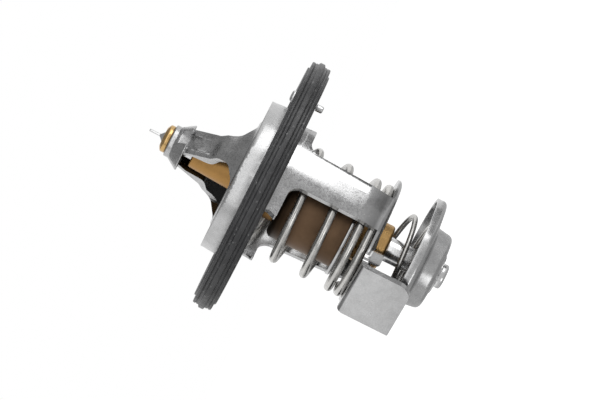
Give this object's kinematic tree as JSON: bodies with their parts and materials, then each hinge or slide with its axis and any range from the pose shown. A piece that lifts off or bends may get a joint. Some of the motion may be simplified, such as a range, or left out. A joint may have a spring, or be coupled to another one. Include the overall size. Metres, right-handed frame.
{
  "type": "engine thermostat",
  "caption": "Wax-element engine thermostat: flanged steel bridge and frame with a rubber seal, sprung main valve, and a bypass valve on its tail.",
  "frame": {"origin": "on the axis, in the plane where the two flanges meet, which is the middle of the seal's rib", "axes": "+Z along the axis from the bypass valve to the hub, +X through the legs of the bridge and the frame"},
  "size_m": [0.0566, 0.0566, 0.0683],
  "materials": {
    "bridge_steel": "satin pressed stainless steel",
    "frame_steel": "satin pressed stainless steel",
    "disc_steel": "satin pressed stainless steel",
    "valve_steel": "satin steel",
    "ground_steel": "ground and polished",
    "spring_steel": "drawn stainless wire",
    "seal_rubber": "matt moulded rubber",
    "valve_rubber": "matt moulded rubber",
    "bush_brass": "turned brass",
    "guide_brass": "turned brass, slightly tarnished",
    "tail_brass": "turned brass",
    "can_bronze": "dark bronze",
    "white_plastic": "low-friction plastic",
    "wax": "filled wax"
  },
  "bodies": {
    "frame": {"upper_bridge": "bridge_steel", "lower_frame": "frame_steel", "flange_seal": "seal_rubber", "piston_bush": "bush_brass", "piston": "ground_steel", "main_spring": "spring_steel"},
    "element": {"main_valve_plate": "valve_steel", "main_valve_seal": "valve_rubber", "valve_washer": "valve_steel", "valve_clip": "spring_steel", "piston_guide": "guide_brass", "guide_packing": "valve_rubber", "scraper_washer": "white_plastic", "rubber_boot": "valve_rubber", "wax_can": "can_bronze", "wax_charge": "wax", "can_end_ring": "valve_steel", "tail_cup": "tail_brass", "bypass_stem": "ground_steel", "stem_clip": "valve_steel", "bypass_spring": "spring_steel"},
    "bypass_valve": {"bypass_disc": "disc_steel"},
    "jiggle_valve": {"jiggle_pin": "ground_steel"}
  },
  "joints": [
    {"name": "valve_lift", "type": "slide", "parent": "frame", "child": "element", "axis": [0, 0, -1], "range_m": [0, 0.008], "stiffness_N_per_m": 2000, "springref_m": -0.012, "deforming": ["main_spring"]},
    {"name": "bypass_slide", "type": "slide", "parent": "element", "child": "bypass_valve", "axis": [0, 0, 1], "range_m": [0, 0.004], "stiffness_N_per_m": 400, "springref_m": -0.006, "deforming": ["bypass_spring"]},
    {"name": "jiggle_slide", "type": "slide", "parent": "frame", "child": "jiggle_valve", "axis": [0, 0, 1], "range_m": [0, 0.0013]}
  ]
}
